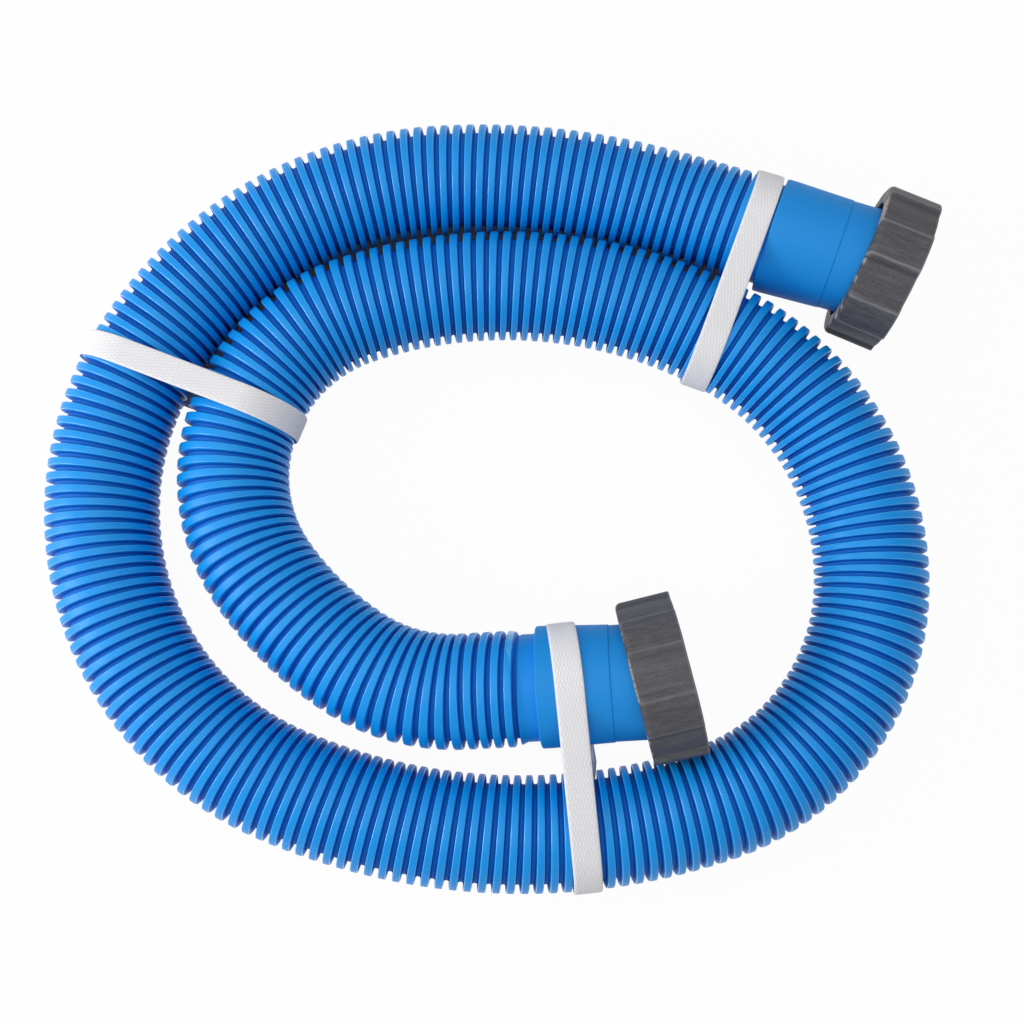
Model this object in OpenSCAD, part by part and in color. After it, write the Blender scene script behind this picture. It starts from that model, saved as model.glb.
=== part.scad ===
// Ribbed vacuum hose for an above-ground pool, coiled flat and tied with three straps.
// Each end has a smooth cuff, a flanged tailpiece and a loose swivel nut with its gasket.
// Lengths are in millimetres and angles in degrees. The coil lies on the plane z = 0.

/* [Hose] */
// Inside diameter of the hose
hose_bore = 38; // [36:0.5:38]
// Outside diameter over the ribs
hose_od = 47.2; // [46:0.1:47.2]
// Depth of the groove between two ribs
groove_depth = 3.6; // [2:0.1:3.6]
// Number of ribs along the hose
rib_count = 200; // [80:10:200]
// Outside diameter of the plain stretch at each end
plain_od = 43.5; // [42:0.1:43.5]
// Length of plain hose that shows beside each cuff
plain_band = 6; // [4:0.5:8]

/* [Coil] */
// Straight run at each end, measured from the flange
straight_end = 80; // [79:1:82]
// Slope of both ends, up towards the nuts
end_pitch = 6; // [5:0.5:7]
// Height of the outer end's flange above the hose that lies flat
lift_a = 10; // [9.8:0.1:11]
// Height of the inner end's flange above the hose that lies flat
lift_b = 18.2; // [18:0.1:19]

/* [Cuffs] */
// Length of a cuff
cuff_len = 29.5; // [26:0.5:30]
// Diameter of a cuff at the hose
cuff_od_hose = 49.4; // [48.5:0.1:49.6]
// Diameter of a cuff at the tailpiece
cuff_od_neck = 47.6; // [47:0.1:48]
// Bore of a cuff, which the hose and the tailpiece are glued into
cuff_bore = 43.6; // [43.6:0.1:44]

/* [Tailpieces] */
// Diameter of the neck that the nut turns on
neck_od = 46.6; // [46:0.1:46.8]
// Length of the neck, from the cuff to the flange
neck_len = 17.5; // [17:0.5:19]
// Diameter of the flange that holds the nut on
flange_od = 52.4; // [52:0.1:52.6]
// Thickness of the flange
flange_t = 2.2; // [2:0.1:2.4]
// Bore of the tailpiece
tail_bore = 37; // [34:0.5:38]
// Length that goes into the cuff
tail_len = 11.6; // [8:0.2:11.6]

/* [Nuts] */
// Diameter over the lugs
nut_od = 66.8; // [66:0.2:66.8]
// Length of the nut
nut_len = 22.5; // [22:0.5:24]
// Number of lugs
lug_count = 6; // [5:1:8]
// Height of a lug over the nut's body
lug_height = 2; // [1:0.1:2.4]
// Width of a lug's top, in degrees round the nut
lug_angle = 26; // [20:1:28]
// Width of each sloping side of a lug, in degrees round the nut
flank_angle = 6; // [4:1:8]
// Thickness of the wall at the back of the nut
nut_wall = 3.3; // [2.4:0.1:3.3]
// Diameter of the hole that the neck passes through
nut_hole = 51.4; // [51.2:0.1:51.6]
// Inside diameter of the thread, over its crests
thread_minor = 55.6; // [55.4:0.1:56]
// Inside diameter of the relief behind the thread
relief_d = 57.4; // [56.8:0.1:58]
// Angle that the outer nut is turned by, round its own axis
nut_a_turn = 3; // [0:1:60]
// Angle that the inner nut is turned by, round its own axis
nut_b_turn = 26; // [0:1:60]
// Angle that the outer nut swings sideways from its cuff
nut_a_swing = -3.5; // [-5:0.5:3]
// Angle that the outer nut dips from its cuff
nut_a_dip = -6; // [-7:0.5:0]
// Angle that the inner nut swings sideways from its cuff
nut_b_swing = 10.5; // [0:0.5:10.5]

/* [Gaskets] */
// Outside diameter of a gasket
gasket_od = 54.8; // [52:0.2:54.8]
// Inside diameter of a gasket
gasket_id = 40; // [38:1:44]
// Thickness of a gasket
gasket_t = 1.8; // [1.6:0.1:2.4]

/* [Straps] */
// Width of a strap
strap_w = 11.5; // [10:0.5:13]
// Thickness of a strap
strap_t = 0.8; // [0.6:0.1:0.8]
// Length of the seam where a strap's ends lie over each other
strap_seam = 18; // [10:1:20]

/* [Hidden] */

// The coil in plan: bend radius and angle of each stretch, from the outer end inwards.
bends = [
    [285, 24], [155, 58], [130, 95], [255, 41], [100, 66],
    [115, 68], [200, 47], [76, 107], [145, 21], [78, 36]
];
// Plan position of the outer flange, and the heading of the hose that leaves it
route_start = [166.8, 97.5, 160];

strap_room = 0.15;                              // space between a strap and the ribs
base_z = hose_od / 2 + strap_room + strap_t;    // height of the hose that lies on its straps
hose_in = flange_t + neck_len + tail_len + 0.2; // distance from a flange to the hose's end
cuff_step = flange_t + neck_len;                // distance from a flange to its cuff
rib_start = cuff_step + cuff_len + plain_band;  // distance from a flange to the first rib

ring_sides = 8;
bore_rings = 110;

nut_back = -6.3;                  // back of a nut, measured from its pivot
pivot_in = flange_t / 2 + 3.5;    // distance from a flange's face to the nut's pivot
gasket_back = 9.6;                // back of a gasket, measured from the nut's pivot
corner = 2.4;                     // rounding of the nut's back corner
mouth_chamfer = 0.6;              // chamfer at the nut's mouth
thread_back = gasket_back + gasket_t + 0.1; // back of the free thread, measured from the pivot
strap_on_cuff = 36;               // distance of a strap from the inner flange

hose_blue = [0.06, 0.36, 0.76];
cuff_blue = [0.07, 0.41, 0.78];
nut_grey = [0.25, 0.25, 0.27];
gasket_black = [0.08, 0.08, 0.08];
strap_white = [0.86, 0.85, 0.87];

// The route as stretches of [length, curvature]; a straight has no curvature.
stretches = concat(
    [[straight_end, 0]],
    [for (b = bends) [b[0] * b[1] * PI / 180, 1 / b[0]]],
    [[straight_end, 0]]
);

// The pose [x, y, heading] after a length of one stretch
function advance(pose, length, bend) =
    bend == 0
    ? [pose[0] + length * cos(pose[2]), pose[1] + length * sin(pose[2]), pose[2]]
    : let (h = pose[2] + length * bend * 180 / PI)
      [pose[0] + (sin(h) - sin(pose[2])) / bend, pose[1] - (cos(h) - cos(pose[2])) / bend, h];

// The distance and the pose at the start of each stretch, and at the route's end
starts = [
    for (i = 0, s = 0, p = route_start;
         i <= len(stretches);
         p = i < len(stretches) ? advance(p, stretches[i][0], stretches[i][1]) : p,
         s = i < len(stretches) ? s + stretches[i][0] : s,
         i = i + 1) [s, p]
];
hose_run = starts[len(stretches)][0];

// The number of the stretch that a distance s lies on
function stretch_at(s, i = 0) =
    i + 1 >= len(stretches) || s < starts[i + 1][0] ? i : stretch_at(s, i + 1);

// The plan pose at a distance s from the outer flange
function pose_at(s) =
    let (i = stretch_at(s)) advance(starts[i][1], s - starts[i][0], stretches[i][1]);

// The height over the flat hose at a distance d from a flange: a straight slope, then a ramp
function ramp_len(lift) = 2 * (lift / tan(end_pitch) - straight_end);
function rise(d, lift) =
    let (ramp = ramp_len(lift), rest = straight_end + ramp - d)
    d < straight_end ? lift - d * tan(end_pitch)
    : rest > 0 ? tan(end_pitch) * rest * rest / (2 * ramp) : 0;
function slope(d, lift) =
    let (ramp = ramp_len(lift), rest = straight_end + ramp - d)
    d < straight_end ? end_pitch : rest > 0 ? atan(tan(end_pitch) * rest / ramp) : 0;

// The point on the centre line, and its slope along the route, at a distance s
function centre(s) =
    let (p = pose_at(s)) [p[0], p[1], base_z + rise(s, lift_a) + rise(hose_run - s, lift_b)];
function pitch_at(s) = slope(hose_run - s, lift_b) - slope(s, lift_a);

// A ring of points round the centre line, square to it
function ring(s, r) =
    let (c = centre(s), h = pose_at(s)[2], p = pitch_at(s),
         side = [-sin(h), cos(h), 0],
         up = [-cos(h) * sin(p), -sin(h) * sin(p), cos(p)])
    [for (k = [0:ring_sides - 1]) let (a = 360 * k / ring_sides) c + r * (cos(a) * side + sin(a) * up)];

// The triangles between ring i and ring i + 1 of a tube; in_out turns them round for the bore
function band(i, in_out, first) = [
    for (k = [0:ring_sides - 1])
        let (n = (k + 1) % ring_sides,
             a = first + i * ring_sides + k, b = first + i * ring_sides + n,
             c = a + ring_sides, d = b + ring_sides)
        each in_out ? [[a, b, c], [b, d, c]] : [[a, c, b], [b, c, d]]
];
// The triangles of an end face between a ring of the outside and a ring of the bore
function end_face(outside, inside, flip) = [
    for (k = [0:ring_sides - 1])
        let (n = (k + 1) % ring_sides,
             a = outside + k, b = outside + n, c = inside + k, d = inside + n)
        each flip ? [[a, c, b], [b, c, d]] : [[a, b, c], [b, d, c]]
];

// Straight from the frame of a flange: +z points out of the hose, and z = 0 is the flange's face.
module at_end(s, outward, swing = 0, dip = 0, back = 0, turn = 0) {
    p = centre(s);
    translate(p) rotate([0, 90 - end_pitch, outward]) translate([0, 0, -back])
        rotate([0, -90 + end_pitch, 0]) rotate([0, 90 - end_pitch - dip, swing]) rotate(turn) children();
}
module at_end_a() { at_end(0, route_start[2] + 180) children(); }
module at_end_b() { at_end(hose_run, pose_at(hose_run)[2]) children(); }
module at_pivot_a() {
    at_end(0, route_start[2] + 180, nut_a_swing, nut_a_dip, pivot_in, nut_a_turn) children();
}
module at_pivot_b() {
    at_end(hose_run, pose_at(hose_run)[2], nut_b_swing, 0, pivot_in, nut_b_turn) children();
}

// Ribbed tube with its bore, one closed skin swept along the route
module hose() {
    pitch = (hose_run - 2 * rib_start) / rib_count;
    outside = concat(
        [[hose_in, plain_od / 2], [rib_start, plain_od / 2]],
        [for (i = [0:rib_count - 1]) each [
            [rib_start + (i + 0.5) * pitch, hose_od / 2],
            [rib_start + (i + 1) * pitch, i < rib_count - 1 ? hose_od / 2 - groove_depth : plain_od / 2]
        ]],
        [[hose_run - hose_in, plain_od / 2]]
    );
    bore_step = (hose_run - 2 * hose_in) / (bore_rings - 1);
    points = concat(
        [for (q = outside) each ring(q[0], q[1])],
        [for (i = [0:bore_rings - 1]) each ring(hose_in + i * bore_step, hose_bore / 2)]
    );
    n = len(outside);
    first = n * ring_sides;
    faces = concat(
        [for (i = [0:n - 2]) each band(i, false, 0)],
        [for (i = [0:bore_rings - 2]) each band(i, true, first)],
        end_face(0, first, false),
        end_face((n - 1) * ring_sides, first + (bore_rings - 1) * ring_sides, true)
    );
    color(hose_blue) polyhedron(points, faces);
}

// Smooth sleeve over the end of the hose and of the tailpiece
module cuff() {
    r_hose = cuff_od_hose / 2;
    r_neck = cuff_od_neck / 2;
    color(cuff_blue) rotate_extrude($fn = 96) polygon([
        [cuff_bore / 2, -cuff_step - cuff_len], [r_hose - 0.7, -cuff_step - cuff_len],
        [r_hose - 0.2, -cuff_step - cuff_len + 0.2], [r_hose, -cuff_step - cuff_len + 0.7],
        [r_neck, -cuff_step - 0.4], [r_neck - 0.3, -cuff_step], [cuff_bore / 2, -cuff_step]
    ]);
}

// Spigot with the neck that the nut turns on and the flange that holds the nut
module tailpiece() {
    color(cuff_blue) difference() {
        union() {
            translate([0, 0, -cuff_step - tail_len])
                cylinder(d = cuff_bore - 0.1, h = tail_len + 1, $fn = 96);
            translate([0, 0, -cuff_step]) cylinder(d = neck_od, h = neck_len + 0.5, $fn = 96);
            translate([0, 0, -flange_t]) cylinder(d = flange_od, h = flange_t, $fn = 96);
        }
        translate([0, 0, -cuff_step - tail_len - 1])
            cylinder(d = tail_bore, h = cuff_step + tail_len + 2, $fn = 96);
    }
}

// Outline of a nut: a round body with lugs whose sides slope. The lugs reach past the nut's outside,
// which trims them.
module nut_outline() {
    body = nut_od / 2 - lug_height;
    foot = lug_angle / 2 + flank_angle;
    function flank(k, side) = (1 - k) * body * [cos(foot), side * sin(foot)]
        + k * nut_od / 2 * [cos(lug_angle / 2), side * sin(lug_angle / 2)];
    circle(r = body, $fn = 96);
    for (i = [0:lug_count - 1]) rotate(360 * i / lug_count)
        polygon([flank(-0.5, -1), flank(1.5, -1), [nut_od / 2 + lug_height, 0],
                 flank(1.5, 1), flank(-0.5, 1)]);
}

// Swivel nut: +z is its mouth, and z = 0 is the pivot that it turns about
module nut() {
    r = nut_od / 2;
    thread_r = thread_minor / 2;
    mouth = nut_back + nut_len;
    color(nut_grey) difference() {
        intersection() {
            translate([0, 0, nut_back]) linear_extrude(nut_len) nut_outline();
            rotate_extrude($fn = 96) polygon([
                [0, nut_back - 1], [r - corner - 1, nut_back - 1], [r - corner, nut_back],
                [r - 0.3 * corner, nut_back + 0.3 * corner], [r, nut_back + corner],
                [r, mouth - 0.5], [r - 1, mouth + 0.5], [0, mouth + 0.5]
            ]);
        }
        rotate_extrude($fn = 96) polygon([
            [0, nut_back - 1], [nut_hole / 2, nut_back - 1], [nut_hole / 2, nut_back + nut_wall],
            [relief_d / 2, nut_back + nut_wall], [relief_d / 2, thread_back], [thread_r, thread_back],
            [thread_r, mouth - mouth_chamfer], [thread_r + 2 * mouth_chamfer, mouth + mouth_chamfer],
            [0, mouth + mouth_chamfer]
        ]);
    }
}

// Flat washer that lies in the nut, in front of the flange
module gasket() {
    color(gasket_black) translate([0, 0, gasket_back]) difference() {
        cylinder(d = gasket_od, h = gasket_t, $fn = 96);
        translate([0, 0, -1]) cylinder(d = gasket_id, h = gasket_t + 2, $fn = 96);
    }
}

// Loop round two circles at p and q, between two distances from them
module loop(p, r1, q, r2, inside, outside) {
    difference() {
        hull() {
            translate(p) circle(r = r1 + outside, $fn = 72);
            translate(q) circle(r = r2 + outside, $fn = 72);
        }
        hull() {
            translate(p) circle(r = r1 + inside, $fn = 72);
            translate(q) circle(r = r2 + inside, $fn = 72);
        }
    }
}

// Strap round two stretches of the hose, at distances s1 and s2 along it. r1 and r2 are the radii
// that it passes round, with more where a stretch slopes, and spread moves it out where it crosses a
// stretch at a slant. Its ends lie over each other in a seam underneath, between the two stretches.
module strap(s1, r1, s2, r2, spread) {
    a = centre(s1);
    b = centre(s2);
    span = norm([b[0] - a[0], b[1] - a[1]]);
    o1 = over_slope(s1, r1);
    o2 = over_slope(s2, r2);
    p = [-spread, max(a[2], o1 + strap_t)];
    q = [span + spread, max(b[2], o2 + strap_t)];
    color(strap_white) translate([a[0], a[1], 0]) rotate([90, 0, atan2(b[1] - a[1], b[0] - a[0])])
        linear_extrude(strap_w, center = true) {
            loop(p, o1, q, o2, 0, strap_t);
            intersection() {
                loop(p, o1, q, o2, -strap_t, strap_t / 2);
                translate([(span - strap_seam) / 2, 0]) square([strap_seam, min(a[2], b[2])]);
            }
        }
}
function over_slope(s, r) = let (p = abs(pitch_at(s))) r / cos(p) + tan(p) * strap_w / 2;
function cuff_r(d) = (cuff_od_neck + (cuff_od_hose - cuff_od_neck) * (d - cuff_step) / cuff_len) / 2;
over_ribs = hose_od / 2 + strap_room;
over_cuff = cuff_r(strap_on_cuff + strap_w / 2) + strap_room;
module strap_left() { strap(361, over_ribs, 1236, over_ribs, 0.6); }
module strap_top() { strap(58, over_ribs, 1011, over_ribs, 0.6); }
module strap_bottom() { strap(hose_run - strap_on_cuff, over_cuff, 700.5, over_ribs, 0.4); }

// The least gap between two turns of the hose, from points along its centre line
gap_step = 3;
gap_points = [for (s = [0:gap_step:hose_run]) centre(s)];
gap_apart = ceil(200 / gap_step);
least_gap = min([
    for (i = [0:len(gap_points) - 1]) for (j = [i + gap_apart:1:len(gap_points) - 1])
        norm(gap_points[i] - gap_points[j])
]) - hose_od;
echo(flange_to_flange = hose_run, least_gap_between_turns = least_gap);
echo(end_a = centre(0), end_b = centre(hose_run), heading_b = pose_at(hose_run)[2]);

hose();
at_end_a() cuff();  // cuff_a
at_end_b() cuff();  // cuff_b
at_end_a() tailpiece();  // tailpiece_a
at_end_b() tailpiece();  // tailpiece_b
at_pivot_a() nut();  // nut_a
at_pivot_b() nut();  // nut_b
at_pivot_a() gasket();  // gasket_a
at_pivot_b() gasket();  // gasket_b
strap_left();
strap_top();
strap_bottom();
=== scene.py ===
# %% [markdown]
# # A pool hose, coiled flat and tied
#
# The object is a short blue ribbed hose. Each end has a smooth cuff and a loose grey nut, and three
# white woven straps hold the coil. Its solids are made elsewhere. This lesson dresses them: it
# loads them, and then makes each piece again with the detail and the finish of the real one.
#
# The hose's sizes are written in millimetres, as a maker would say them, and MM turns them into
# metres, which is what Blender works in. The inputs of the trees, the camera, the floor and the
# lamps are in metres.

# %% Load the solids
import math

import bpy
import numpy as np
from mathutils import Matrix, Vector


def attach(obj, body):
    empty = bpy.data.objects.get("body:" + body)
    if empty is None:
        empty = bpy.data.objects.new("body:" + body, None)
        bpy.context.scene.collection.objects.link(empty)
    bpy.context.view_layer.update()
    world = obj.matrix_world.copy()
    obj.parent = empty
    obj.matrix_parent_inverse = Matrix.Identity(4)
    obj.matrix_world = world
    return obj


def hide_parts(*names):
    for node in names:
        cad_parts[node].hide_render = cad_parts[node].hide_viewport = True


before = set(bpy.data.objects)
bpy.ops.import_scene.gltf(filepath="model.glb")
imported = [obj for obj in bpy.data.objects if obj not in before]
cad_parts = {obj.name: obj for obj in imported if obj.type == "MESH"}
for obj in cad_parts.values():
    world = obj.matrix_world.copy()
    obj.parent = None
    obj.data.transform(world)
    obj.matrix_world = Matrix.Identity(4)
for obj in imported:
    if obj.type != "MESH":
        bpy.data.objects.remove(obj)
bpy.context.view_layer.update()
MM = 0.001

# %% [markdown]
# ## The camera
#
# It stands almost over the coil and looks 9 degrees ahead of straight down, so that a little of the
# near side of each turn shows. It is made first. The hose's sizes were measured against what it sees.

# %% Stand the camera over the coil
lens = bpy.data.cameras.new("camera")
lens.lens, lens.sensor_width = 43.7, 36
lens.clip_start, lens.clip_end = 0.01, 20
camera = bpy.data.objects.new("camera", lens)
camera.location = (0.0078, -0.0908, 0.5485)
camera.rotation_euler = (math.radians(9), 0, 0)
bpy.context.scene.collection.objects.link(camera)
bpy.context.scene.camera = camera
print("camera at", [round(c, 3) for c in camera.location])

# %% [markdown]
# ## The line that the hose follows
#
# A coil is easiest to describe as a walk: a straight, then bends of a given radius and angle, then
# a straight. Both ends rise towards their nuts, because a nut is wider than the hose and its end
# can't lie flat. A drawn curve could have that shape too, but a walk has an exact length, and any
# point on it can be asked for by its distance from the outer flange.

# %% Walk along the coil
STRAIGHT, SLOPE, REST_HEIGHT = 80, 6, 24.55
OUTER_LIFT, INNER_LIFT = 10, 18.2
# where the walk starts, as x, y and a heading in degrees, and the radius and the angle of each bend
START = (166.8, 97.5, 160)
BENDS = [(285, 24), (155, 58), (130, 95), (255, 41), (100, 66),
         (115, 68), (200, 47), (76, 107), (145, 21), (78, 36)]
STRETCHES = [(STRAIGHT, 0), *((r * math.radians(a), 1 / r) for r, a in BENDS), (STRAIGHT, 0)]


def walk(pose, length, bend):
    """The plan pose (x, y, heading) after a length of one stretch."""
    x, y, heading = pose
    h = math.radians(heading)
    if not bend:
        return x + length * math.cos(h), y + length * math.sin(h), heading
    k = h + length * bend
    x += (math.sin(k) - math.sin(h)) / bend
    y -= (math.cos(k) - math.cos(h)) / bend
    return x, y, math.degrees(k)


corners = [(0, START)]
for length, bend in STRETCHES:
    corners.append((corners[-1][0] + length, walk(corners[-1][1], length, bend)))
RUN = corners[-1][0]
print("from flange to flange:", round(RUN, 1), "mm")

# %% Find the height, the slope and the place at a distance


def pose_at(s):
    """The plan pose at a distance s from the outer flange."""
    i = max(k for k in range(len(STRETCHES)) if corners[k][0] <= s or k == 0)
    return walk(corners[i][1], s - corners[i][0], STRETCHES[i][1])


def rise(d, lift):
    """The height over the flat coil, and the slope, at a distance d from a flange."""
    tan = math.tan(math.radians(SLOPE))
    ramp = 2 * (lift / tan - STRAIGHT)
    rest = STRAIGHT + ramp - d
    if d < STRAIGHT:
        return lift - d * tan, SLOPE
    if rest <= 0:
        return 0, 0
    return tan * rest * rest / (2 * ramp), math.degrees(math.atan(tan * rest / ramp))


def centre(s):
    """The point on the hose's centre line at a distance s."""
    x, y, _ = pose_at(s)
    return Vector((x, y, REST_HEIGHT + rise(s, OUTER_LIFT)[0] + rise(RUN - s, INNER_LIFT)[0]))


print("highest and lowest:", round(centre(RUN).z, 1), round(centre(RUN / 2).z, 1), "mm")

# %% [markdown]
# ## Trees written as Python expressions
#
# Geometry Nodes and shaders are both trees of nodes. Placing each node by hand makes long code, so
# one small class wraps a socket and overloads Python's operators: `1 - mask * 0.5` then adds the
# Math nodes that work it out. Any other node comes from one method, `add`, which takes the node's
# type, its settings, and the values or links of its sockets.

# %% A socket that can be calculated with


def pick(sockets, key):
    """The socket with that number, or the one in use with that name."""
    if isinstance(key, int):
        return sockets[key]
    return next(s for s in sockets if s.enabled and key in (s.name, s.identifier))


class Value:
    """An output of a node. Operators on it add Math nodes to its tree."""

    def __init__(self, tree, socket):
        self.tree, self.socket = tree, socket

    def __getitem__(self, name):
        """Another output of the same node."""
        return Value(self.tree, pick(self.socket.node.outputs, name))

    def math(self, operation, *others):
        return self.tree.math(operation, self, *others)

    def __add__(self, other):
        return self.math("ADD", other)

    def __sub__(self, other):
        return self.math("SUBTRACT", other)

    def __mul__(self, other):
        return self.math("MULTIPLY", other)

    def __truediv__(self, other):
        return self.math("DIVIDE", other)

    def __pow__(self, other):
        return self.math("POWER", other)

    def __gt__(self, other):
        return self.math("GREATER_THAN", other)

    def __lt__(self, other):
        return self.math("LESS_THAN", other)

    def __abs__(self):
        return self.math("ABSOLUTE")

    def __rsub__(self, other):
        return self.tree.math("SUBTRACT", other, self)

    def __rtruediv__(self, other):
        return self.tree.math("DIVIDE", other, self)

    __radd__, __rmul__ = __add__, __mul__

    def clamp(self, low=0, high=1):
        return self.math("MAXIMUM", low).math("MINIMUM", high)

    def ramp(self, start, end, smooth=True):
        """0 before start and 1 after end, with a smooth or a straight step between."""
        kind = "SMOOTHSTEP" if smooth else "LINEAR"
        return self.tree.add("ShaderNodeMapRange", {"interpolation_type": kind},
                             {"Value": self, "From Min": start, "From Max": end})


# %% A tree that nodes are added to


class Tree:
    """A node tree, for geometry or for a shader."""

    def __init__(self, tree):
        self.tree = tree

    def add(self, kind, settings=None, sockets=None):
        """A new node of that kind, with its settings and its sockets' values or links."""
        node = self.tree.nodes.new(kind)
        for name, value in (settings or {}).items():
            if name == "bend":  # the corners of a Float Curve, joined by straight lines
                points = node.mapping.curves[0].points
                while len(points) < len(value):
                    points.new(1, 1)
                for point, place in zip(points, value):
                    point.location, point.handle_type = place, "VECTOR"
                node.mapping.update()
            else:
                setattr(node, name, value)
        for key, value in (sockets or {}).items():
            socket = pick(node.inputs, key)
            if isinstance(value, Value):
                self.tree.links.new(value.socket, socket)
            else:
                socket.default_value = value
        return Value(self, next((s for s in node.outputs if s.enabled), None))

    def math(self, operation, *values):
        return self.add("ShaderNodeMath", {"operation": operation}, dict(enumerate(values)))

    def vector(self, operation, *values):
        return self.add("ShaderNodeVectorMath", {"operation": operation}, dict(enumerate(values)))

    def scale(self, vector, amount):
        """A vector made longer or shorter."""
        return self.add("ShaderNodeVectorMath", {"operation": "SCALE"}, {"Vector": vector, "Scale": amount})

    def xyz(self, x, y, z):
        return self.add("ShaderNodeCombineXYZ", None, {"X": x, "Y": y, "Z": z})

    def split(self, vector):
        return self.add("ShaderNodeSeparateXYZ", None, {"Vector": vector})

    def blend(self, amount, a, b):
        """Colour a, going over to colour b."""
        return self.add("ShaderNodeMix", {"data_type": "RGBA"},
                        {"Factor_Float": amount, "A_Color": a, "B_Color": b})


# %% A Geometry Nodes tree with named inputs
KINDS = {int: "NodeSocketInt", float: "NodeSocketFloat", tuple: "NodeSocketVector",
         None: "NodeSocketMaterial"}


def new_form(name, **inputs):
    """A tree that takes a geometry and those inputs, and a dict of the inputs as values."""
    group = bpy.data.node_groups.new(name, "GeometryNodeTree")
    group.interface.new_socket("Geometry", in_out="INPUT", socket_type="NodeSocketGeometry")
    group.interface.new_socket("Geometry", in_out="OUTPUT", socket_type="NodeSocketGeometry")
    for label, value in inputs.items():
        kind = KINDS[None if value is None else type(value)]
        socket = group.interface.new_socket(label, in_out="INPUT", socket_type=kind)
        if value is not None:
            socket.default_value = value
    tree = Tree(group)
    source = group.nodes.new("NodeGroupInput")
    return tree, {s.name: Value(tree, s) for s in source.outputs if s.name}


def end_form(tree, geometry, merge, material):
    """Close the seams, shade smoothly, and end in Realize Instances and Set Material."""
    merged = tree.add("GeometryNodeMergeByDistance", None, {"Geometry": geometry, "Distance": merge})
    smooth = tree.add("GeometryNodeSetShadeSmooth", None, {"Geometry": merged})
    real = tree.add("GeometryNodeRealizeInstances", None, {"Geometry": smooth})
    done = tree.add("GeometryNodeSetMaterial", None, {"Geometry": real, "Material": material})
    tree.add("NodeGroupOutput", None, {"Geometry": done})
    return tree.tree


def keep(tree, geometry, **values):
    """Write those values on the faces' corners, where a material can read them by name."""
    for name, value in values.items():
        geometry = tree.add("GeometryNodeStoreNamedAttribute", {"data_type": "FLOAT", "domain": "CORNER"},
                            {"Geometry": geometry, "Name": name, "Value": value})
    return geometry


def grow(name, base, form, place=Matrix(), **sizes):
    """Run a form on a base mesh and keep the plain mesh that comes out, put in its place."""
    seed = bpy.data.objects.new(name + "_seed", base)
    bpy.context.scene.collection.objects.link(seed)
    modifier = seed.modifiers.new("form", "NODES")
    modifier.node_group = form
    names = {i.name: i.identifier for i in form.interface.items_tree if i.in_out == "INPUT"}
    for label, value in sizes.items():
        modifier[names[label]] = value
    grown = bpy.data.meshes.new_from_object(seed.evaluated_get(bpy.context.evaluated_depsgraph_get()))
    bpy.data.objects.remove(seed)
    grown.transform(place)
    grown.name = name
    piece = bpy.data.objects.new(name, grown)
    bpy.context.scene.collection.objects.link(piece)
    grown.calc_loop_triangles()
    print(name + ":", len(grown.loop_triangles), "triangles")
    return piece


def line_mesh(name, points, closed=False, **marks):
    """A mesh of edges through those points, with a number at each point for every mark."""
    mesh = bpy.data.meshes.new(name)
    n = len(points)
    mesh.from_pydata(points, [(i, (i + 1) % n) for i in range(n if closed else n - 1)], [])
    for label, values in marks.items():
        mesh.attributes.new(label, "FLOAT", "POINT").data.foreach_set("value", values)
    return mesh


# %% [markdown]
# ## Finishes: moulded plastics and white webbing
#
# Each finish is a Principled shader. Its colour, roughness and bump vary with place, and everything
# that is the same all over is set on the shader itself.

# %% Start a finish


def colour(*red_green_blue):
    """An opaque colour given as 0 to 255 in sRGB, as the linear numbers that Blender uses."""
    shares = [c / 255 for c in red_green_blue]
    return (*(c / 12.92 if c <= 0.04045 else ((c + 0.055) / 1.055) ** 2.4 for c in shares), 1)


def finish_of(name, **fixed):
    """A new material's tree, and its Principled shader with the values that don't vary."""
    material = bpy.data.materials.new(name)
    material.use_nodes = True
    tree = Tree(material.node_tree)
    shader = material.node_tree.nodes["Principled BSDF"]
    for label, value in fixed.items():
        shader.inputs[label.replace("_", " ")].default_value = value
    return material, tree, shader


def feed(tree, shader, **values):
    """Link those values to the shader's sockets."""
    for label, value in values.items():
        tree.tree.links.new(value.socket, shader.inputs[label.replace("_", " ")])


def mark(tree, name):
    """The number that a piece keeps under that name."""
    return tree.add("ShaderNodeAttribute", {"attribute_name": name})["Fac"]


def noise(tree, vector, size, detail=2.0, roughness=0.5):
    """Soft noise from 0 to 1 whose blotches are about size millimetres wide."""
    return tree.add("ShaderNodeTexNoise", None, {"Vector": vector, "Scale": 1 / (size * MM),
                                                 "Detail": detail, "Roughness": roughness})


def bump(tree, height, depth):
    """A normal that is bent by a height, which runs over that depth in millimetres."""
    return tree.add("ShaderNodeBump", None, {"Height": height, "Distance": depth * MM, "Strength": 1.0})


# %% Blue hose plastic
hose_plastic, t, shader = finish_of("hose_blue", Specular_IOR_Level=0.3, Coat_Roughness=0.3,
                                   Coat_IOR=1.6)
where = t.add("ShaderNodeTexCoord")["Object"]
cloud = noise(t, where, 40)
grain = noise(t, where, 0.5, 3)
sunk = mark(t, "sunk")
blue = t.blend(cloud, colour(0, 142, 228), colour(4, 149, 235))
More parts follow.
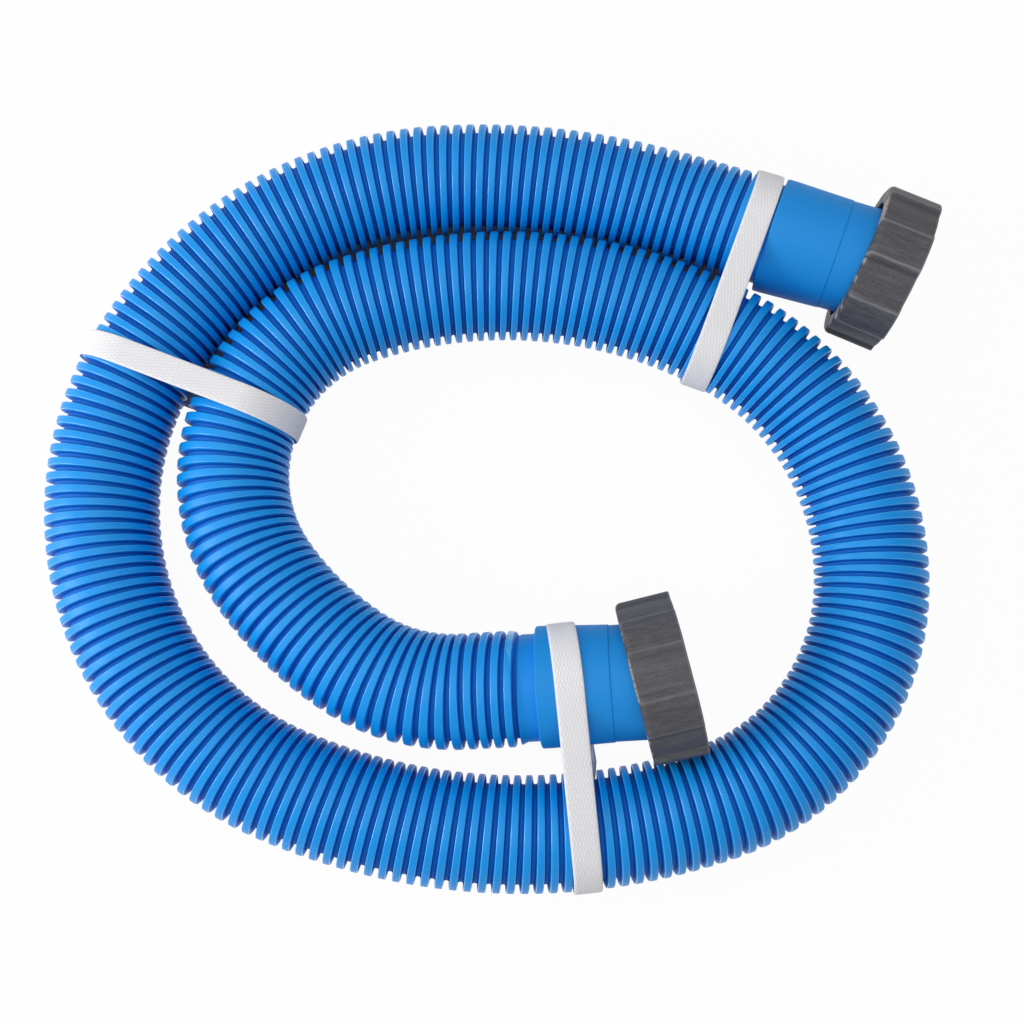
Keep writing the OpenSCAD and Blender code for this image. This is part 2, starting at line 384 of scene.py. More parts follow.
# sunk is 0 on a rib's top and 1 at the bottom of a groove. A rib's shoulder gets a painted highlight,
# paler than its top, and a glossier coat, and the groove's wall below it gets painted shade.
edge = sunk.ramp(0.001, 0.01) * (1 - sunk.ramp(0.07, 0.14))
blue = t.blend(edge * 0.6, blue, colour(44, 175, 246))
# painted shade down the groove's walls, a little less at its floor
painted_groove_shade = sunk.ramp(0.2, 0.8) * (1 - sunk.ramp(0.85, 1) * 0.4)
blue = t.blend(painted_groove_shade, blue, colour(0, 86, 183))
feed(t, shader, Base_Color=blue, Roughness=0.4 + cloud * 0.06 - edge * 0.08 + sunk * 0.24,
     Coat_Weight=edge, Normal=bump(t, grain, 0.01))
print("finish:", hose_plastic.name)

# %% [markdown]
# ## The hose
#
# The hose is one blown tube whose ribs wind round it as a single long left-handed spiral, about 259
# turns of it. Separate rings would be easier, but they never lean, and on the real hose each strand
# leans by about two degrees. A screw modifier makes a spiral only on a straight tube.
#
# So the tree rolls up a flat grid. One direction of the grid goes round the tube, and the other goes
# along it, but slanted by one pitch, so that every row of the grid is a strand of the spiral. The
# row decides how deep the groove is there. A second grid makes the bore and the end faces.

# %% The section of one rib
# each pair is a distance from the rib's middle and a depth below its top
RIB = [(1.08, 0), (1.14, 0.01), (1.38, 0.16), (1.5, 0.45), (1.76, 3.2), (2.2, 3.6)]
HALF_PITCH, DEPTH = 2.67, 3.6
rows_of_rib = [(k + 0.5) / (2 * len(RIB)) for k in range(len(RIB))]
RIB_PLACES = [(0, 0), *((k, x / HALF_PITCH / 2) for k, (x, _) in zip(rows_of_rib, RIB)), (0.5, 0.5)]
RIB_DEPTHS = [(0, 0), *((k, z / DEPTH) for k, (_, z) in zip(rows_of_rib, RIB)), (0.5, 1)]
print("a rib is", 2 * RIB[3][0], "mm wide on top and", 2 * RIB[4][0], "mm at its foot")

# %% Roll a grid round the line
tree, given = new_form("Ribbed tube", Pitch=0.0053, Depth=0.0036, Crest=0.0236, Plain=0.02175,
                       Bore=0.019, First=0.02, Sides=28, Rows=12, BoreRows=110, Material=None)


def on_tube(tree, line, s, turn, radius):
    """The place at a distance s along the line, a share of a turn round it, and a radius from it."""
    sample = tree.add("GeometryNodeSampleCurve", {"mode": "LENGTH"}, {"Curves": line, "Length": s})
    ahead = sample["Tangent"]
    side = tree.vector("NORMALIZE", tree.vector("CROSS_PRODUCT", (0, 0, 1), ahead))
    up = tree.vector("CROSS_PRODUCT", ahead, side)
    angle = turn * math.tau
    out = tree.vector("ADD", tree.scale(side, angle.math("COSINE")), tree.scale(up, angle.math("SINE")))
    return tree.vector("ADD", sample["Position"], tree.scale(out, radius))


def unit_grid(tree, rows, step, sides):
    """A grid with rows a step apart and, across them, a length of 1; its row and cross values."""
    grid = tree.add("GeometryNodeMeshGrid", None, {"Size X": (rows - 1) * step, "Size Y": 1,
                                                   "Vertices X": rows, "Vertices Y": sides + 1})
    flat = tree.split(tree.add("GeometryNodeInputPosition"))
    return grid, flat["X"] + (rows - 1) * step / 2, flat["Y"] + 0.5


line = tree.add("GeometryNodeMeshToCurve", None, {"Mesh": given["Geometry"]})
long = tree.add("GeometryNodeCurveLength", None, {"Curve": line})
pitch, sides = given["Pitch"], given["Sides"]
step = pitch / given["Rows"]
outer, row, turn = unit_grid(tree, ((long + pitch) / step).math("CEIL") + 2, step, sides)

# Rows are evenly spaced at first. One curve moves them to where the rib's section bends, and the
# other says how far down the groove each of them lies. Both start from the middle of a rib. The
# ribs fade out over RIB_FADE of a pitch. The plain ends after that have no groove, and PLAIN_SHADE
# gives them the painted groove shade of a place that far down one.
RIB_FADE, PLAIN_SHADE = 0.6, 0.36
turns = row / pitch + 0.5 / given["Rows"]
from_rib = turns.math("FRACT") - 0.5
at_bend = tree.add("ShaderNodeFloatCurve", {"bend": RIB_PLACES}, {"Value": abs(from_rib)})
sunk = tree.add("ShaderNodeFloatCurve", {"bend": RIB_DEPTHS}, {"Value": abs(from_rib)})
strand = (turns.math("FLOOR") + from_rib.math("SIGN") * at_bend) * pitch
along = (strand - turn * pitch).math("MAXIMUM", 0).math("MINIMUM", long)
inside = (along - given["First"]).math("MINIMUM", long - given["First"] - along)
ribbed = (inside / (pitch * RIB_FADE)).clamp()
radius = given["Plain"] + (given["Crest"] - sunk * given["Depth"] - given["Plain"]) * ribbed
outer = keep(tree, outer, along=along, around=turn, sunk=sunk * ribbed + (1 - ribbed) * PLAIN_SHADE)
outer = tree.add("GeometryNodeSetPosition", None,
                 {"Geometry": outer, "Position": on_tube(tree, line, along, turn, radius)})
outer = tree.add("GeometryNodeFlipFaces", None, {"Mesh": outer})

rows = given["BoreRows"] + 2
inner, row, turn = unit_grid(tree, rows, 1, sides)
along = ((row - 1) / (rows - 3)).clamp() * long
edge = (abs(row - (rows - 1) / 2) > (rows - 2) / 2)
radius = given["Bore"] + (given["Plain"] - given["Bore"]) * edge
inner = keep(tree, inner, along=along, around=turn, sunk=edge * 0)
inner = tree.add("GeometryNodeSetPosition", None,
                 {"Geometry": inner, "Position": on_tube(tree, line, along, turn, radius)})
join = tree.add("GeometryNodeJoinGeometry", None, {"Geometry": outer})
tree.tree.links.new(inner.socket, join.socket.node.inputs["Geometry"])
ribbed_tube = end_form(tree, join, 0.02 * MM, given["Material"])
print("tree:", ribbed_tube.name, len(ribbed_tube.nodes), "nodes")

# %% Make the hose
HOSE_IN, RIB_START, RIBS = 31.5, 55.2, 259
steps = np.append(np.arange(HOSE_IN, RUN - HOSE_IN, 1.0), RUN - HOSE_IN)
path = [centre(s) * MM for s in steps]
pitch_mm = (RUN - 2 * RIB_START) / RIBS
hose = grow("hose_tube", line_mesh("hose_line", path), ribbed_tube, Pitch=pitch_mm * MM,
            First=(RIB_START - HOSE_IN) * MM, Material=hose_plastic)
print("one turn of the rib every", round(pitch_mm, 2), "mm")
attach(hose, "root")
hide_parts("hose")

# %% [markdown]
# ## Places on the two ends
#
# The hard pieces are turned shapes. Each is made standing on its own axis, with z pointing out of
# the hose, and then put in its place. A cuff and its tailpiece sit square on the hose's end. A nut
# hangs loosely on the tailpiece, so it is tipped a little about a point inside its flange.

# %% Work out where each end's pieces go
NUT_PIVOT_IN = 4.6


def turn_about(axis, degrees):
    """A turn about one of the axes."""
    return Matrix.Rotation(math.radians(degrees), 4, axis)


def end_place(s, outward):
    """The place of a flange's face: its z axis points out of the hose."""
    return Matrix.Translation(centre(s)) @ turn_about("Z", outward) @ turn_about("Y", 90 - SLOPE)


def nut_place(s, outward, swing, dip, turn):
    """The place of a nut's pivot, swung sideways, dipped and turned round its own axis, in degrees."""
    pivot = end_place(s, outward) @ Vector((0, 0, -NUT_PIVOT_IN))
    return (Matrix.Translation(pivot) @ turn_about("Z", outward + swing)
            @ turn_about("Y", 90 - SLOPE - dip) @ turn_about("Z", turn))


outward_a, outward_b = START[2] + 180, pose_at(RUN)[2]
PLACES = {"cuff_a": end_place(0, outward_a), "cuff_b": end_place(RUN, outward_b),
          "nut_a": nut_place(0, outward_a, swing=-3.5, dip=-6, turn=3),
          "nut_b": nut_place(RUN, outward_b, swing=10.5, dip=0, turn=26)}
for name, place in PLACES.items():
    print(name, [round(c, 1) for c in place.translation])

# %% [markdown]
# ## Turned pieces
#
# A cuff, a tailpiece, a gasket and a nut are all made by turning a section round an axis. One tree
# does this for all of them. It rolls a grid round the axis and takes the radius and the height of
# each row from the points of the section. A point can also carry marks: where `lug` is 1, the
# surface swells into the nut's lugs, and where `thread` is 1, it follows a screw thread.

# %% A form that turns a section
tree, given = new_form("Turned", Sides=180, Lugs=6, LugHeight=0.0, LugTop=26.0, Flank=6.0,
                       ThreadPitch=0.003, ThreadDepth=0.0, Wear=1.0, Material=None)
rows = tree.add("GeometryNodeAttributeDomainSize", {"component": "MESH"},
                {"Geometry": given["Geometry"]})["Point Count"]
grid, row, turn = unit_grid(tree, rows + 1, 1, given["Sides"])
number = (row + 0.5).math("FLOOR") - (row > rows - 0.5) * rows


def section(kind, value):
    """That value of the section's point whose number is the row's."""
    return tree.add("GeometryNodeSampleIndex", {"data_type": kind, "domain": "POINT"},
                    {"Geometry": given["Geometry"], "Index": number, "Value": value})


def section_mark(name):
    """The mark of that name at the section's point whose number is the row's."""
    return section("FLOAT", tree.add("GeometryNodeInputNamedAttribute", {"data_type": "FLOAT"},
                                     {"Name": name}))


spot = tree.split(section("FLOAT_VECTOR", tree.add("GeometryNodeInputPosition")))
off_lug = abs((turn * given["Lugs"] + 0.5).math("FRACT") - 0.5) * 360 / given["Lugs"]
lug = 1 - off_lug.ramp(given["LugTop"] / 2, given["LugTop"] / 2 + given["Flank"], False)
# the thread's flank starts and ends at these shares of a pitch from the middle of its ridge
RIDGE, GROOVE = 0.12, 0.36
in_thread = abs((spot["Z"] / given["ThreadPitch"] - turn).math("FRACT") - 0.5)
cut = in_thread.ramp(RIDGE, GROOVE, False) * given["ThreadDepth"]
radius = spot["X"] + lug * given["LugHeight"] * section_mark("lug") + cut * section_mark("thread")
angle = turn * math.tau
grid = keep(tree, grid, around=turn, off_lug=off_lug, height=spot["Z"], rim=section_mark("rim"),
            wear=given["Wear"])
grid = tree.add("GeometryNodeSetPosition", None, {"Geometry": grid, "Position": tree.xyz(
    radius * angle.math("COSINE"), radius * angle.math("SINE"), spot["Z"])})
turned = end_form(tree, grid, 0.004 * MM, given["Material"])
print("tree:", turned.name, len(turned.nodes), "nodes")

# %% A section with eased corners


def eased(outline, hold=0.4):
    """Points (radius, height, lug, thread, rim) round a closed section in millimetres.

    Each corner of the outline is (radius, height, rounding, lug, thread). A rounded corner gets an
    arc, where the rim is 1, and a point a little before and after it, which keeps the flats flat."""
    points, n = [], len(outline)
    for i, (r, z, rounding, *marks) in enumerate(outline):
        marks = (*marks, 0, 0)[:2]
        here = Vector((r, z))
        if not rounding:
            points.append((r, z, *marks, 0.0))
            continue
        before = (Vector(outline[i - 1][:2]) - here).normalized()
        after = (Vector(outline[(i + 1) % n][:2]) - here).normalized()
        half = before.angle(after) / 2
        reach = rounding / math.tan(half)
        middle = here + (before + after).normalized() * rounding / math.sin(half)
        steps = 4 if rounding > 0.4 else 2
        points.append((*(here + before * (reach + hold)), *marks, 0.0))
        for k in range(steps + 1):
            # from the tangent point on the near side to the one on the far side
            spoke = (here + before * reach - middle).lerp(here + after * reach - middle, k / steps)
            points.append((*(middle + spoke.normalized() * rounding), *marks, 1.0))
        points.append((*(here + after * (reach + hold)), *marks, 0.0))
    return points


def turned_piece(name, outline, place, material, **sizes):
    """A turned piece from its outline, put in its place."""
    points = eased(outline)
    base = line_mesh(name + "_section", [(r * MM, 0, z * MM) for r, z, *_ in points], True,
                     lug=[p[2] for p in points], thread=[p[3] for p in points], rim=[p[4] for p in points])
    moved = place.copy()
    moved.translation = place.translation * MM
    return grow(name, base, turned, moved, Material=material, **sizes)


# %% [markdown]
# ## Cuffs and tailpieces
#
# The cuff is a smooth sleeve on the hose's end, with a thicker collar where it starts. The tailpiece
# is the harder spigot inside it. It comes out of the cuff as a short neck and ends in a flange, which
# keeps the nut from slipping off. A fine step round the neck shows where the cuff stops.
#
# Both are turned from a section with eased corners. A bevel on a finished solid would round all its
# edges alike, while here every corner of the section has a rounding of its own.

# %% Blue moulded plastic
cuff_plastic, t, shader = finish_of("cuff_blue", Specular_IOR_Level=0.3)
where = t.add("ShaderNodeTexCoord")["Object"]
cloud = noise(t, where, 14)
blue = t.blend(cloud, colour(14, 137, 218), colour(20, 142, 223))
feed(t, shader, Base_Color=blue, Roughness=0.52 + cloud * 0.1,
     Normal=bump(t, noise(t, where, 0.6, 3), 0.008))
print("finish:", cuff_plastic.name)

# %% Turn the cuffs and the tailpieces
# CUFF_STEP, CUFF_IN and TAIL_IN are distances into the hose from the flange's face
CUFF_STEP, CUFF_LEN, CUFF_BORE, CUFF_R, COLLAR_R = 19.7, 29.5, 21.8, 23.7, 24.7
CUFF_IN = CUFF_STEP + CUFF_LEN
TAIL_IN, TAIL_BORE, TAIL_R, NECK_R, FLANGE_R, FLANGE_T = 31.3, 18.5, 21.75, 23.3, 26.2, 2.2
cuff_outline = [(CUFF_BORE, -CUFF_IN, 0.3), (COLLAR_R, -CUFF_IN, 0.7), (COLLAR_R, -CUFF_IN + 4, 2),
                (CUFF_R, -CUFF_STEP, 0.25), (CUFF_BORE, -CUFF_STEP, 0.3)]
tail_outline = [(TAIL_BORE, -TAIL_IN, 0.3), (TAIL_R, -TAIL_IN, 0.3), (TAIL_R, -CUFF_STEP, 0.1),
                (NECK_R + 0.15, -CUFF_STEP, 0.1), (NECK_R, -FLANGE_T, 0.2),
                (FLANGE_R, -FLANGE_T, 0.3), (FLANGE_R, 0, 0.3), (TAIL_BORE, 0, 0.3)]
for end in "ab":
    cuff = turned_piece("cuff_" + end + "_sleeve", cuff_outline, PLACES["cuff_" + end], cuff_plastic)
    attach(cuff, "root")
    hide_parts("cuff_" + end)
    tail = turned_piece("tailpiece_" + end + "_spigot", tail_outline, PLACES["cuff_" + end], cuff_plastic)
    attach(tail, "root")
    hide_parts("tailpiece_" + end)

# %% [markdown]
# ## Nuts and gaskets
#
# The nut is tightened by hand, so it has six broad lugs for the fingers. Its thread pulls the flange
# and a rubber gasket against the pump. The lugs are rounded off at the back, which is a short row of
# points in the section whose share of the lug falls to nothing. The thread has a pitch of 3 mm and
# is part of the surface. A bump would be cheaper, but the thread shows in the nut's open mouth.
#
# The grey is drawn and scuffed: fine streaks run along the nut, the lugs' edges and rounded rims are
# worn pale and carry a painted highlight, a band of painted shade runs along each lug's foot, and the
# back edge has a few light scrapes. The turning tree kept on every corner how far it is round the
# nut, from a lug's middle and from the back, and the material reads those marks. One input per nut
# sets how strong the lugs' worn, highlighted edges and the painted shade at their feet are. The
# outer nut has more.

# %% Grey moulded plastic, drawn and scuffed, with painted highlights and shade on its lugs
# in degrees round the nut: a lug's top, its flank, the band along its edge that is worn pale and
# carries a painted highlight, and the band at its foot with painted shade
LUG_TOP, FLANK, CREST_W, FOOT_W = 26.0, 6.0, 1.7, 2.2
# the radius at which the streaks' width is measured, and that width as a share of their length
STREAK_R, STREAK_SHARE = 33, 0.12
nut_plastic, t, shader = finish_of("nut_grey", Specular_IOR_Level=0.4)
where = t.add("ShaderNodeTexCoord")["Object"]
angle, height = mark(t, "around") * math.tau, mark(t, "height")
off_lug, rim, wear = mark(t, "off_lug"), mark(t, "rim"), mark(t, "wear")
ring = t.xyz(angle.math("COSINE") * STREAK_R * MM, angle.math("SINE") * STREAK_R * MM, 0)
drawn = t.vector("ADD", ring, t.xyz(0, 0, height * STREAK_SHARE))
streak = noise(t, drawn, 1.1, 4, 0.65)
broad = noise(t, drawn, 7)
grain = noise(t, where, 0.7, 3, 0.7)
fleck = noise(t, where, 0.55, 2, 0.6).ramp(0.62, 0.74)
crest = (1 - abs(off_lug - LUG_TOP / 2) / CREST_W).clamp()
painted_foot_shade = (1 - abs(off_lug - LUG_TOP / 2 - FLANK * 0.7) / FOOT_W).clamp()
rough = streak * 0.65 + grain * 0.35
grey = t.blend(rough.ramp(0.34, 0.66), colour(60, 60, 64), colour(91, 91, 96))
grey = t.blend(broad.ramp(0.35, 0.7) * 0.35, grey, colour(56, 56, 62))
# painted shade: a dark band along each lug's foot
grey = t.blend(painted_foot_shade * (wear * 0.4 + 0.1), grey, colour(30, 31, 37))
grey = t.blend(fleck * 0.5, grey, colour(128, 128, 130))
# the lugs' edges and the rounded rims are worn pale, and this also paints a highlight on them
worn_and_highlit = crest * wear * (rough * 0.8 + 0.1) + rim * 0.35
grey = t.blend(worn_and_highlit.clamp(), grey, colour(146, 147, 152))
scuff = noise(t, ring, 10, 3, 0.65).ramp(0.5, 0.6)
at_back = (height / MM * -1).ramp(5.2, 6.2)
grey = t.blend(scuff * at_back * 0.75, grey, colour(190, 176, 168))
feed(t, shader, Base_Color=grey, Roughness=0.42 + streak * 0.25,
     Normal=bump(t, rough + fleck * 0.3, 0.1))
rubber, t, shader = finish_of("gasket_black", Roughness=0.7)
where = t.add("ShaderNodeTexCoord")["Object"]
feed(t, shader, Base_Color=t.blend(noise(t, where, 5), (0.01, 0.01, 0.011, 1), (0.02, 0.02, 0.022, 1)))
print("finishes:", nut_plastic.name, rubber.name)

# %% Turn the nuts and the gaskets
# heights are taken from the nut's pivot; SEAT is the face inside that takes hold of the flange
NUT_BACK, NUT_LEN, SEAT, BODY_R, LUG, CORNER = -6.3, 22.5, -3.0, 31.4, 2.0, 2.4
MOUTH = NUT_BACK + NUT_LEN
HOLE_R, RELIEF_R, THREAD_R, THREAD_IN, MOUTH_R = 25.7, 28.7, 27.8, 11.5, 28.5
thread_rows = [(THREAD_R, z, 0, 0, 1) for z in np.arange(11.8, 15.5, 0.25).tolist()]
# at the back a lug's top follows a quarter circle of radius CORNER down to the body
back_rows = [(BODY_R, NUT_BACK + z, 0, max(math.sqrt(z * (2 * CORNER - z)) - CORNER + LUG, 0) / LUG)
             for z in (0.3, 0.6, 1.0, 1.6, CORNER, CORNER + 0.5)]
nut_outline = [(HOLE_R, NUT_BACK, 0.4), (BODY_R - 0.3, NUT_BACK, 0), *back_rows,
               (BODY_R, MOUTH, 0.5, 1), (MOUTH_R, MOUTH, 0.2), (THREAD_R, MOUTH - 0.6, 0),
               *reversed(thread_rows), (THREAD_R, THREAD_IN, 0), (RELIEF_R, THREAD_IN, 0),
               (RELIEF_R, SEAT, 0.3), (HOLE_R, SEAT, 0.3)]
gasket_outline = [(r, z, 0.2) for r, z in ((20, 9.6), (27.4, 9.6), (27.4, 11.4), (20, 11.4))]
for end, wear in (("a", 1.0), ("b", 0.35)):
    nut = turned_piece("nut_" + end + "_swivel", nut_outline, PLACES["nut_" + end], nut_plastic,
                       Sides=360, LugHeight=LUG * MM, LugTop=LUG_TOP, Flank=FLANK,
                       ThreadPitch=3 * MM, ThreadDepth=0.8 * MM, Wear=wear)
    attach(nut, "nut_" + end)
    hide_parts("nut_" + end)
    gasket = turned_piece("gasket_" + end + "_washer", gasket_outline, PLACES["nut_" + end], rubber)
    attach(gasket, "seal_" + end)
    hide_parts("gasket_" + end)

# %% The hose's first point and its length
path[0]
sum((b - a).length for a, b in zip(path, path[1:]))

# %% [markdown]
# ## Straps
#
# Each strap is a flat woven band. It goes once round two turns of the hose and is joined to itself
# underneath. It is drawn tight, so it follows a circle over each turn and runs straight in between.
# Its middle line is worked out from those two circles and the straights that touch both. A cloth
# simulation comes to almost the same shape, but it takes long and doesn't end exactly at the seam.
#
# The weave is a lattice of small diamonds. One rule lifts the diamonds in the mesh and colours them
# in the material, so that the two always agree.

# %% White webbing
# the band's width, its thickness, the overlap of its ends, and the size of one diamond
STRAP_W, STRAP_T, SEAM = 11.5, 0.8, 18
DIAMOND_W, DIAMOND_L = 1.35, 4.2


def lattice(tree, along, across):
    """Where the two slanting sets of yarns run: 0 on the lines between diamonds, 1 in their middles."""
    u, v = across * (STRAP_W / 2 / DIAMOND_W), along / (DIAMOND_L * MM)
    return abs(((u + v) * math.pi).math("SINE")), abs(((u - v) * math.pi).math("SINE"))


# shares of half the width: where the smooth selvage begins and is full, and where the relief stops
SELVAGE, RELIEF_END = (0.84, 0.9), 0.86
webbing, t, shader = finish_of("strap_white", Specular_IOR_Level=0.3)
where = t.add("ShaderNodeTexCoord")["Object"]
across = mark(t, "across")
right, left = lattice(t, mark(t, "along"), across)
inner = 1 - abs(across).ramp(*SELVAGE)
cell = right.math("MINIMUM", left).ramp(0, 0.55) * inner + (1 - inner)
thread = noise(t, where, 0.3, 2)
white = t.blend(cell, colour(221, 220, 224), colour(240, 239, 242))
white = t.blend(noise(t, where, 9) * 0.3, white, colour(228, 227, 231))
feed(t, shader, Base_Color=white, Roughness=0.62 + thread * 0.2, Normal=bump(t, cell + thread * 0.3, 0.06))
print("finish:", webbing.name)

# %% A band that follows a loop
tree, given = new_form("Band", Across=(0.0, 1.0, 0.0), Width=0.0115, Thickness=0.0008, Step=0.0005,
                       Facets=40, Relief=0.00006, Material=None)
line = tree.add("GeometryNodeMeshToCurve", None, {"Mesh": given["Geometry"]})
long = tree.add("GeometryNodeCurveLength", None, {"Curve": line})
rows = (long / given["Step"]).math("FLOOR") + 3
grid, row, cross = unit_grid(tree, rows, 1, given["Facets"] * 2)
along = ((row - 1) / (rows - 3)).clamp() * long
upper = 1 - (cross > 0.5) * 2
across = abs(cross * 2 - 1) * 2 - 1
right, left = lattice(tree, along, across)
relief = right.math("MINIMUM", left).clamp(0, 0.5) * (abs(across) < RELIEF_END) * given["Relief"]
# the band keeps its thickness almost to its edges, and its first and last rows close its ends
closed = (row > 0.5) * (row < rows - 1.5)
thick = ((1 - abs(across) ** 8).clamp() ** 0.5 * given["Thickness"] / 2 + relief) * upper * closed
tilt = tree.add("GeometryNodeInputNamedAttribute", {"data_type": "FLOAT"}, {"Name": "tilt"})
sample = tree.add("GeometryNodeSampleCurve", {"mode": "LENGTH"},
                  {"Curves": line, "Length": along, "Value": tilt})
leaning = tree.vector("ADD", given["Across"], tree.xyz(0, 0, sample["Value"]))
out = tree.vector("CROSS_PRODUCT", sample["Tangent"], given["Across"])
place = tree.vector("ADD", sample["Position"], tree.vector(
    "ADD", tree.scale(leaning, across * given["Width"] / 2), tree.scale(out, thick)))
grid = keep(tree, grid, along=along, across=across)
grid = tree.add("GeometryNodeSetPosition", None, {"Geometry": grid, "Position": place})
band = end_form(tree, grid, 0.01 * MM, given["Material"])
print("tree:", band.name, len(band.nodes), "nodes")

# %% Lay the straps
# how far a strap's inner face is from the centre line
OVER_RIBS, OVER_CUFF = 23.75, 24.62


def climb(s, across):
    """How much the hose climbs across the strap at a distance s, as a share of the way."""
    up = math.tan(math.radians(rise(RUN - s, INNER_LIFT)[1] - rise(s, OUTER_LIFT)[1]))
    heading = math.radians(pose_at(s)[2])
    return up * (across.x * math.cos(heading) + across.y * math.sin(heading))


ARC_POINTS, SEAM_LEAD, SEAM_GAP = 60, 3, 0.02


def strap_path(a, r1, b, r2, spread):
    """The middle line of a strap round two stretches: a closed run that overlaps in a seam below."""
    span = math.hypot(b.x - a.x, b.y - a.y)
    p, q = Vector((-spread, max(a.z, r1 + STRAP_T))), Vector((span + spread, max(b.z, r2 + STRAP_T)))
    r1, r2 = r1 + STRAP_T / 2, r2 + STRAP_T / 2
    d = q - p
    lean = math.atan2(d.y, d.x)
    dip = math.asin((r1 - r2) / d.length)
    # the two straights touch both circles; above, going from p to q, and below, coming back
    up, down = lean + math.pi / 2 - dip, lean - math.pi / 2 + dip
    arc_q = [q + r2 * Vector((math.cos(k), math.sin(k))) for k in np.linspace(up, down, ARC_POINTS)]
    arc_p = [p + r1 * Vector((math.cos(k), math.sin(k)))
             for k in np.linspace(down, up - math.tau, ARC_POINTS)]
    run = arc_p[0] - arc_q[-1]
    ahead = run.normalized()
    inward = Vector((ahead.y, -ahead.x))
    if inward.y < 0:
        inward = -inward
    middle = (arc_q[-1] + arc_p[0]) / 2
    first, last = middle - ahead * SEAM / 2, middle + ahead * SEAM / 2
    gap = STRAP_T + SEAM_GAP
    return [first + inward * gap, last + inward * gap, last + ahead * SEAM_LEAD,
            *arc_p, *arc_q, first, last]


# where a strap crosses the hose and how far out, twice; how far it bulges; how far its lower run is askew
STRAPS = {"left": (360.5, OVER_RIBS, 1236, OVER_RIBS, 0.6, 0),
          "top": (57.8, OVER_RIBS, 1010, OVER_RIBS, 0.6, 0),
          "bottom": (RUN - 38, OVER_CUFF, 698.5, OVER_RIBS, 0.1, -5)}
for name, (s1, r1, s2, r2, spread, skew) in STRAPS.items():
    a, b = centre(s1), centre(s2)
    flat = strap_path(a, r1, b, r2, spread)
    span = b - a
    along_x = Vector((span.x, span.y, 0)).normalized()
    across = along_x.cross(Vector((0, 0, 1)))
    reach = math.hypot(span.x, span.y)
    shares = [min(max(p.x / reach, 0), 1) for p in flat]
    lower = [(1 + (a.z + span.z * k - p.y) / r1) / 2 * math.sin(math.pi * k)
             for p, k in zip(flat, shares)]
    points = [(Vector((a.x, a.y, p.y)) + along_x * p.x + across * skew * k) * MM
              for p, k in zip(flat, lower)]
    tilt = [climb(s1, across) * (1 - k) + climb(s2, across) * k for k in shares]
    strap = grow("strap_" + name + "_webbing", line_mesh("strap_line", points, tilt=tilt), band,
                 Across=across, Material=webbing)
    cut = sum((q - p).length for p, q in zip(points, points[1:]))
    print("strap", name, "is cut", round(cut / MM), "mm long")
    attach(strap, "root")
    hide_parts("strap_" + name)

# %% [markdown]
# ## Floor and light
#
# The coil lies on white paper. A wide lamp hangs above it, and a small one stands low on the left and
# brings out the edges of the ribs. Some light comes from a plain white sky.
#
# Paper in this light would come out grey. So it glows, but only for the camera, and no more light
# falls on the hose. It would also glow in the narrow gap between two touching turns, where hardly
# any light gets in. A dark strip of painted shadow lies under that gap. Less glow everywhere would
# darken the gap too, but then the whole paper is grey again.

# %% Floor and a strip of painted shadow


def seen_direct(tree):
    """1 where the camera sees a thing straight, in a mirror or through glass, and 0 where light does."""
    ray = tree.add("ShaderNodeLightPath")
    seen = ray["Is Camera Ray"].math("MAXIMUM", ray["Is Glossy Ray"])
    return seen.math("MAXIMUM", ray["Is Transmission Ray"])


def lay_paper(name, points, faces, tint, glow):
    """A sheet of matt paper on the ground, which glows by a share of white for the camera."""
    mesh = bpy.data.meshes.new(name)
    mesh.from_pydata(points, [], faces)
    paper = bpy.data.materials.new(name)
    paper.use_nodes = True
    paper.node_tree.nodes.clear()
    t = Tree(paper.node_tree)
    white = t.add("ShaderNodeEmission", None, {"Color": (1, 1, 1, 1), "Strength": 1.0})
    matt = t.add("ShaderNodeBsdfDiffuse", None, {"Color": tint})
    both = t.add("ShaderNodeMixShader", None, {0: seen_direct(t) * glow, 1: matt, 2: white})
    t.add("ShaderNodeOutputMaterial", None, {"Surface": both})
    mesh.materials.append(paper)
    sheet = bpy.data.objects.new(name, mesh)
    bpy.context.scene.collection.objects.link(sheet)


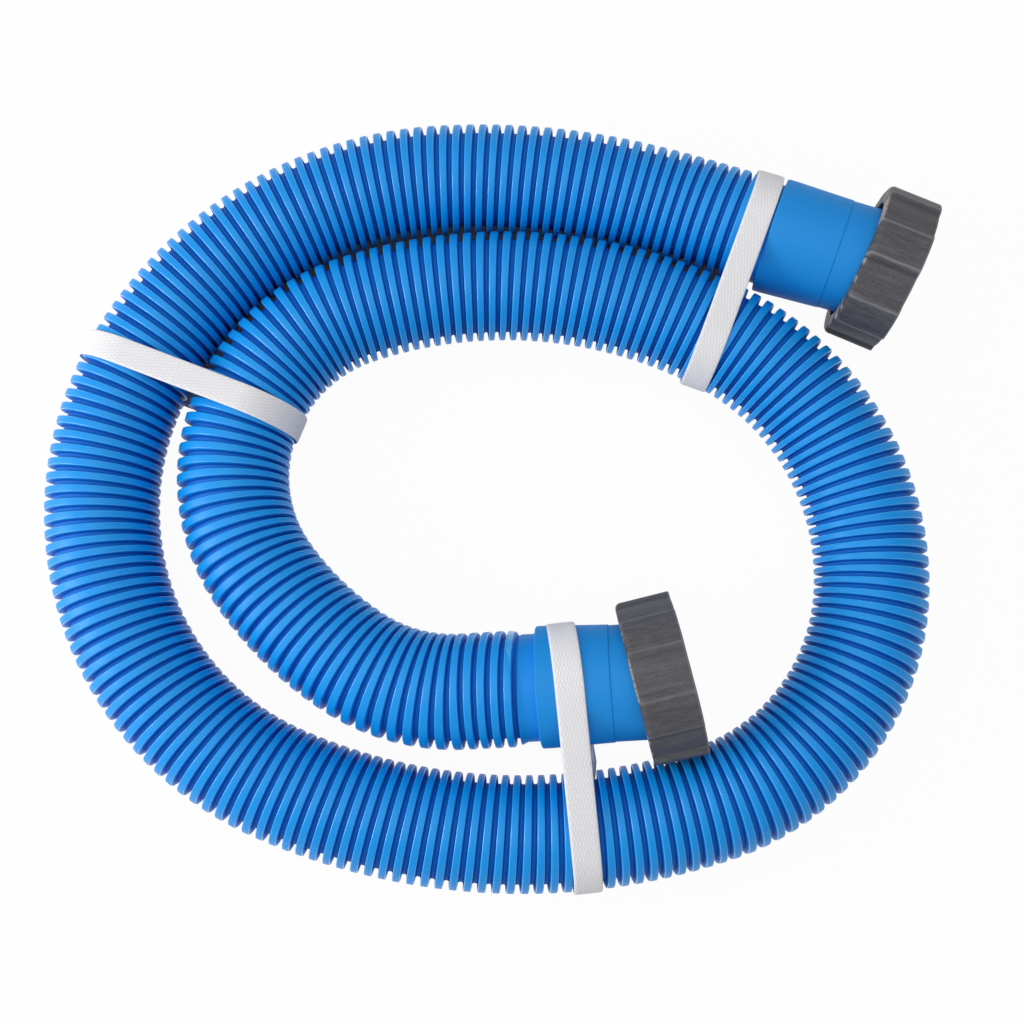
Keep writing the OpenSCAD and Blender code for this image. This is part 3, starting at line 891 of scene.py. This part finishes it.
FLOOR_HALF, FLOOR_Z, STRIP_Z = 4, -0.0004, -0.0002
SQUARE = ((-1, -1), (1, -1), (1, 1), (-1, 1))
lay_paper("floor", [(x * FLOOR_HALF, y * FLOOR_HALF, FLOOR_Z) for x, y in SQUARE], [(0, 1, 2, 3)],
          tint=(0.8, 0.8, 0.8, 1), glow=0.96)

# Along these distances the outer turn touches the inner one. The strip's two edges lie at those
# shares of the way between their centre lines.
OUTER_TOUCH, INNER_TOUCH = np.arange(58, 356, 5.0), np.arange(980, 1290, 1.0)
STRIP_EDGES = (0.05, 0.85)
shaded = []
inner_turn = [centre(s) for s in INNER_TOUCH]
for s in OUTER_TOUCH:
    one = centre(s)
    other = min(inner_turn, key=lambda p: (p - one).length)
    for share in STRIP_EDGES:
        x, y, _ = one.lerp(other, share) * MM
        shaded.append((x, y, STRIP_Z))
# the strip is painted shadow: dark blue paper that hardly glows
lay_paper("shade", shaded, [(i, i + 1, i + 3, i + 2) for i in range(0, len(shaded) - 2, 2)],
          tint=(0.02, 0.08, 0.24, 1), glow=0.015)
print("the dark strip has", len(shaded) // 2 - 1, "faces")

# %% Sky, lamps and view
world = bpy.data.worlds.new("studio")
bpy.context.scene.world = world
world.use_nodes = True
world.node_tree.nodes.clear()
t = Tree(world.node_tree)
sky = t.add("ShaderNodeBackground", None, {"Color": (1, 1, 1, 1), "Strength": 0.43})
white = t.add("ShaderNodeBackground", None, {"Color": (1, 1, 1, 1), "Strength": 1.0})
both = t.add("ShaderNodeMixShader", None, {0: seen_direct(t), 1: sky, 2: white})
t.add("ShaderNodeOutputWorld", None, {"Surface": both})


def lamp(name, place, size, watts):
    """A square lamp that points at the middle of the coil."""
    light = bpy.data.lights.new(name, "AREA")
    light.size, light.energy = size, watts
    obj = bpy.data.objects.new(name, light)
    obj.location = place
    obj.rotation_euler = (-Vector(place)).to_track_quat("-Z", "Y").to_euler()
    bpy.context.scene.collection.objects.link(obj)
    print("lamp:", name, watts, "W")


lamp("left", (-0.93, -0.15, 0.4), size=0.5, watts=5.0)
lamp("above", (-0.27, 0.07, 1.26), size=1.3, watts=6.9)
bpy.context.scene.view_settings.view_transform = "Standard"
